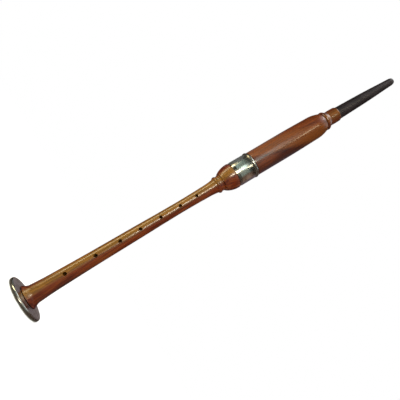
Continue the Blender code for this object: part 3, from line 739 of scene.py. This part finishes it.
# Light: a white surround, a warm soft box on the left, strips near the camera, and a ring of dark flags
# with a few paler cards at the ferrule's height. Only reflections see these, so that the varnish and the
# metal stay deep. Lamps and flags are in degrees and metres, each flag (start, end, low, high, colour).
studio = {
    "worldLight": 0.56, "floorSize": 6.0, "floorDrop": 0.0004, "floorGlow": 0.55,
    "lamps": {
        "soft_box": {"azimuth": -66, "distance": 0.3, "height": 0.13, "size": (0.06, 0.42), "watts": 0.62,
                     "color": "#FFEFC0", "aim": 0.13},
        "strip": {"azimuth": 4, "distance": 0.62, "height": 0.30, "size": (0.035, 0.25), "watts": 1.9,
                  "color": "#FFF4DC", "aim": 0.30},
        "ferrule_panel": {"azimuth": -1, "distance": 0.62, "height": 0.54, "size": (0.36, 0.17), "watts": 0.5,
                          "color": "#EAFFFB", "aim": 0.54},
        "high_strip": {"azimuth": 18, "distance": 0.62, "height": 0.74, "size": (0.06, 0.2), "watts": 0.45,
                       "color": "#FFEFC8", "aim": 0.74},
        "overhead": {"azimuth": -50, "distance": 0.3, "height": 1.3, "size": (0.5, 0.3), "watts": 2.2,
                     "color": "#FFFFFF", "aim": 0.0},
    },
    "flags": [
        (-150, -95, 0.0, 2.2, "#2E2822"), (-95, -35, 0.0, 2.2, "#3A3226"), (-35, 70, 0.0, 2.2, "#1C1410"),
        (70, 110, 0.0, 2.2, "#2A1C14"), (110, 160, 0.0, 2.2, "#3A2C28"), (160, 210, 0.0, 2.2, "#8A7C7C"),
    ],
    "ferruleFlags": [
        (-150, -70, 0.5, 0.96, "#808080"), (-70, -20, 0.5, 0.96, "#B8D0C8"),
        (20, 65, 0.5, 0.96, "#B0BCB4"), (65, 125, 0.5, 0.96, "#A08070"), (125, 210, 0.5, 0.96, "#807078"),
    ],
    "flagReach": 1.3, "ferruleFlagReach": 1.25, "floorFlagStart": 0.027, "floorFlag": "#6A6058",
}


def aimAt(item, target):
    item.rotation_euler = (Vector(target) - item.location).to_track_quat("-Z", "Y").to_euler()


def makeLamp(name, p):
    data = bpy.data.lights.new(name, "AREA")
    data.shape = "RECTANGLE"
    data.color = hexColor(p["color"])[:3]
    data.size, data.size_y = p["size"]
    data.energy = p["watts"]
    item = bpy.data.objects.new(name, data)
    bpy.context.scene.collection.objects.link(item)
    a = math.radians(p["azimuth"])
    item.location = (math.sin(a) * p["distance"], -math.cos(a) * p["distance"], p["height"])
    item.visible_camera = False
    aimAt(item, (0, 0, p["aim"]))


def makeFlag(name, points, faces, color):
    material, tree = emptyMaterial(name)
    paint = addNode(tree, "ShaderNodeEmission", {"Color": hexColor(color), "Strength": 1.0})
    addNode(tree, "ShaderNodeOutputMaterial", {"Surface": paint.outputs[0]})
    flag = finishMesh(name, points, faces, material)
    flag.visible_camera = False
    flag.visible_shadow = False
    flag.visible_diffuse = False
    flag.visible_transmission = False


def makeFlags():
    steps = 8
    for key, reach in (("flags", studio["flagReach"]), ("ferruleFlags", studio["ferruleFlagReach"])):
        for number, (start, end, low, high, color) in enumerate(studio[key]):
            points = []
            for i in range(steps + 1):
                a = math.radians(start + (end - start) * i / steps)
                for z in (low, high):
                    points.append((math.sin(a) * reach, -math.cos(a) * reach, z))
            faces = [(2 * i, 2 * i + 2, 2 * i + 3, 2 * i + 1) for i in range(steps)]
            makeFlag(key + "_" + str(number), points, faces, color)
    points = []
    sides = 48
    for i in range(sides):  # a ring on the floor, from the sole's rim to the flags
        a = 2 * math.pi * i / sides
        for r in (studio["floorFlagStart"], studio["flagReach"]):
            points.append((math.sin(a) * r, -math.cos(a) * r, 0.0))
    count = 2 * sides
    faces = [(2 * i, 2 * i + 1, (2 * i + 3) % count, (2 * i + 2) % count) for i in range(sides)]
    makeFlag("floor_flag", points, faces, studio["floorFlag"])


# 1 for camera, glossy and transmission rays, so that the surround is as white in reflections
def seenWhite(tree):
    path = addNode(tree, "ShaderNodeLightPath")
    direct = addNode(tree, "ShaderNodeMath", {
        0: path.outputs["Is Camera Ray"], 1: path.outputs["Is Glossy Ray"],
    }, operation="MAXIMUM")
    seen = addNode(tree, "ShaderNodeMath", {
        0: direct.outputs[0], 1: path.outputs["Is Transmission Ray"],
    }, operation="MAXIMUM")
    return seen.outputs[0]


def makeStage():
    world = bpy.data.worlds.new("studio")
    bpy.context.scene.world = world
    world.use_nodes = True
    tree = world.node_tree
    tree.nodes.clear()
    strength = addNode(tree, "ShaderNodeMapRange", {0: seenWhite(tree), 3: studio["worldLight"], 4: 1.0})
    sky = addNode(tree, "ShaderNodeBackground", {"Color": grey(1.0), "Strength": strength.outputs[0]})
    addNode(tree, "ShaderNodeOutputWorld", {"Surface": sky.outputs[0]})

    half = studio["floorSize"] / 2
    material, tree = emptyMaterial("pale_floor")
    paint = addNode(tree, "ShaderNodeBsdfDiffuse", {"Color": grey(0.8)})
    glow = addNode(tree, "ShaderNodeEmission", {"Color": grey(1.0), "Strength": studio["floorGlow"]})
    both = addNode(tree, "ShaderNodeAddShader", {0: paint.outputs[0], 1: glow.outputs[0]})
    look = addNode(tree, "ShaderNodeMixShader", {0: seenWhite(tree), 1: paint.outputs[0], 2: both.outputs[0]})
    addNode(tree, "ShaderNodeOutputMaterial", {"Surface": look.outputs[0]})
    points = [(-half, -half, 0), (half, -half, 0), (half, half, 0), (-half, half, 0)]
    floor = finishMesh("floor", points, [(0, 1, 2, 3)], material)
    floor.location = (0, 0, -studio["floorDrop"])

    for name, lamp in studio["lamps"].items():
        makeLamp(name, lamp)
    makeFlags()


makeCamera()
makeStage()
bpy.context.scene.view_settings.view_transform = "Standard"
print("camera and light made")
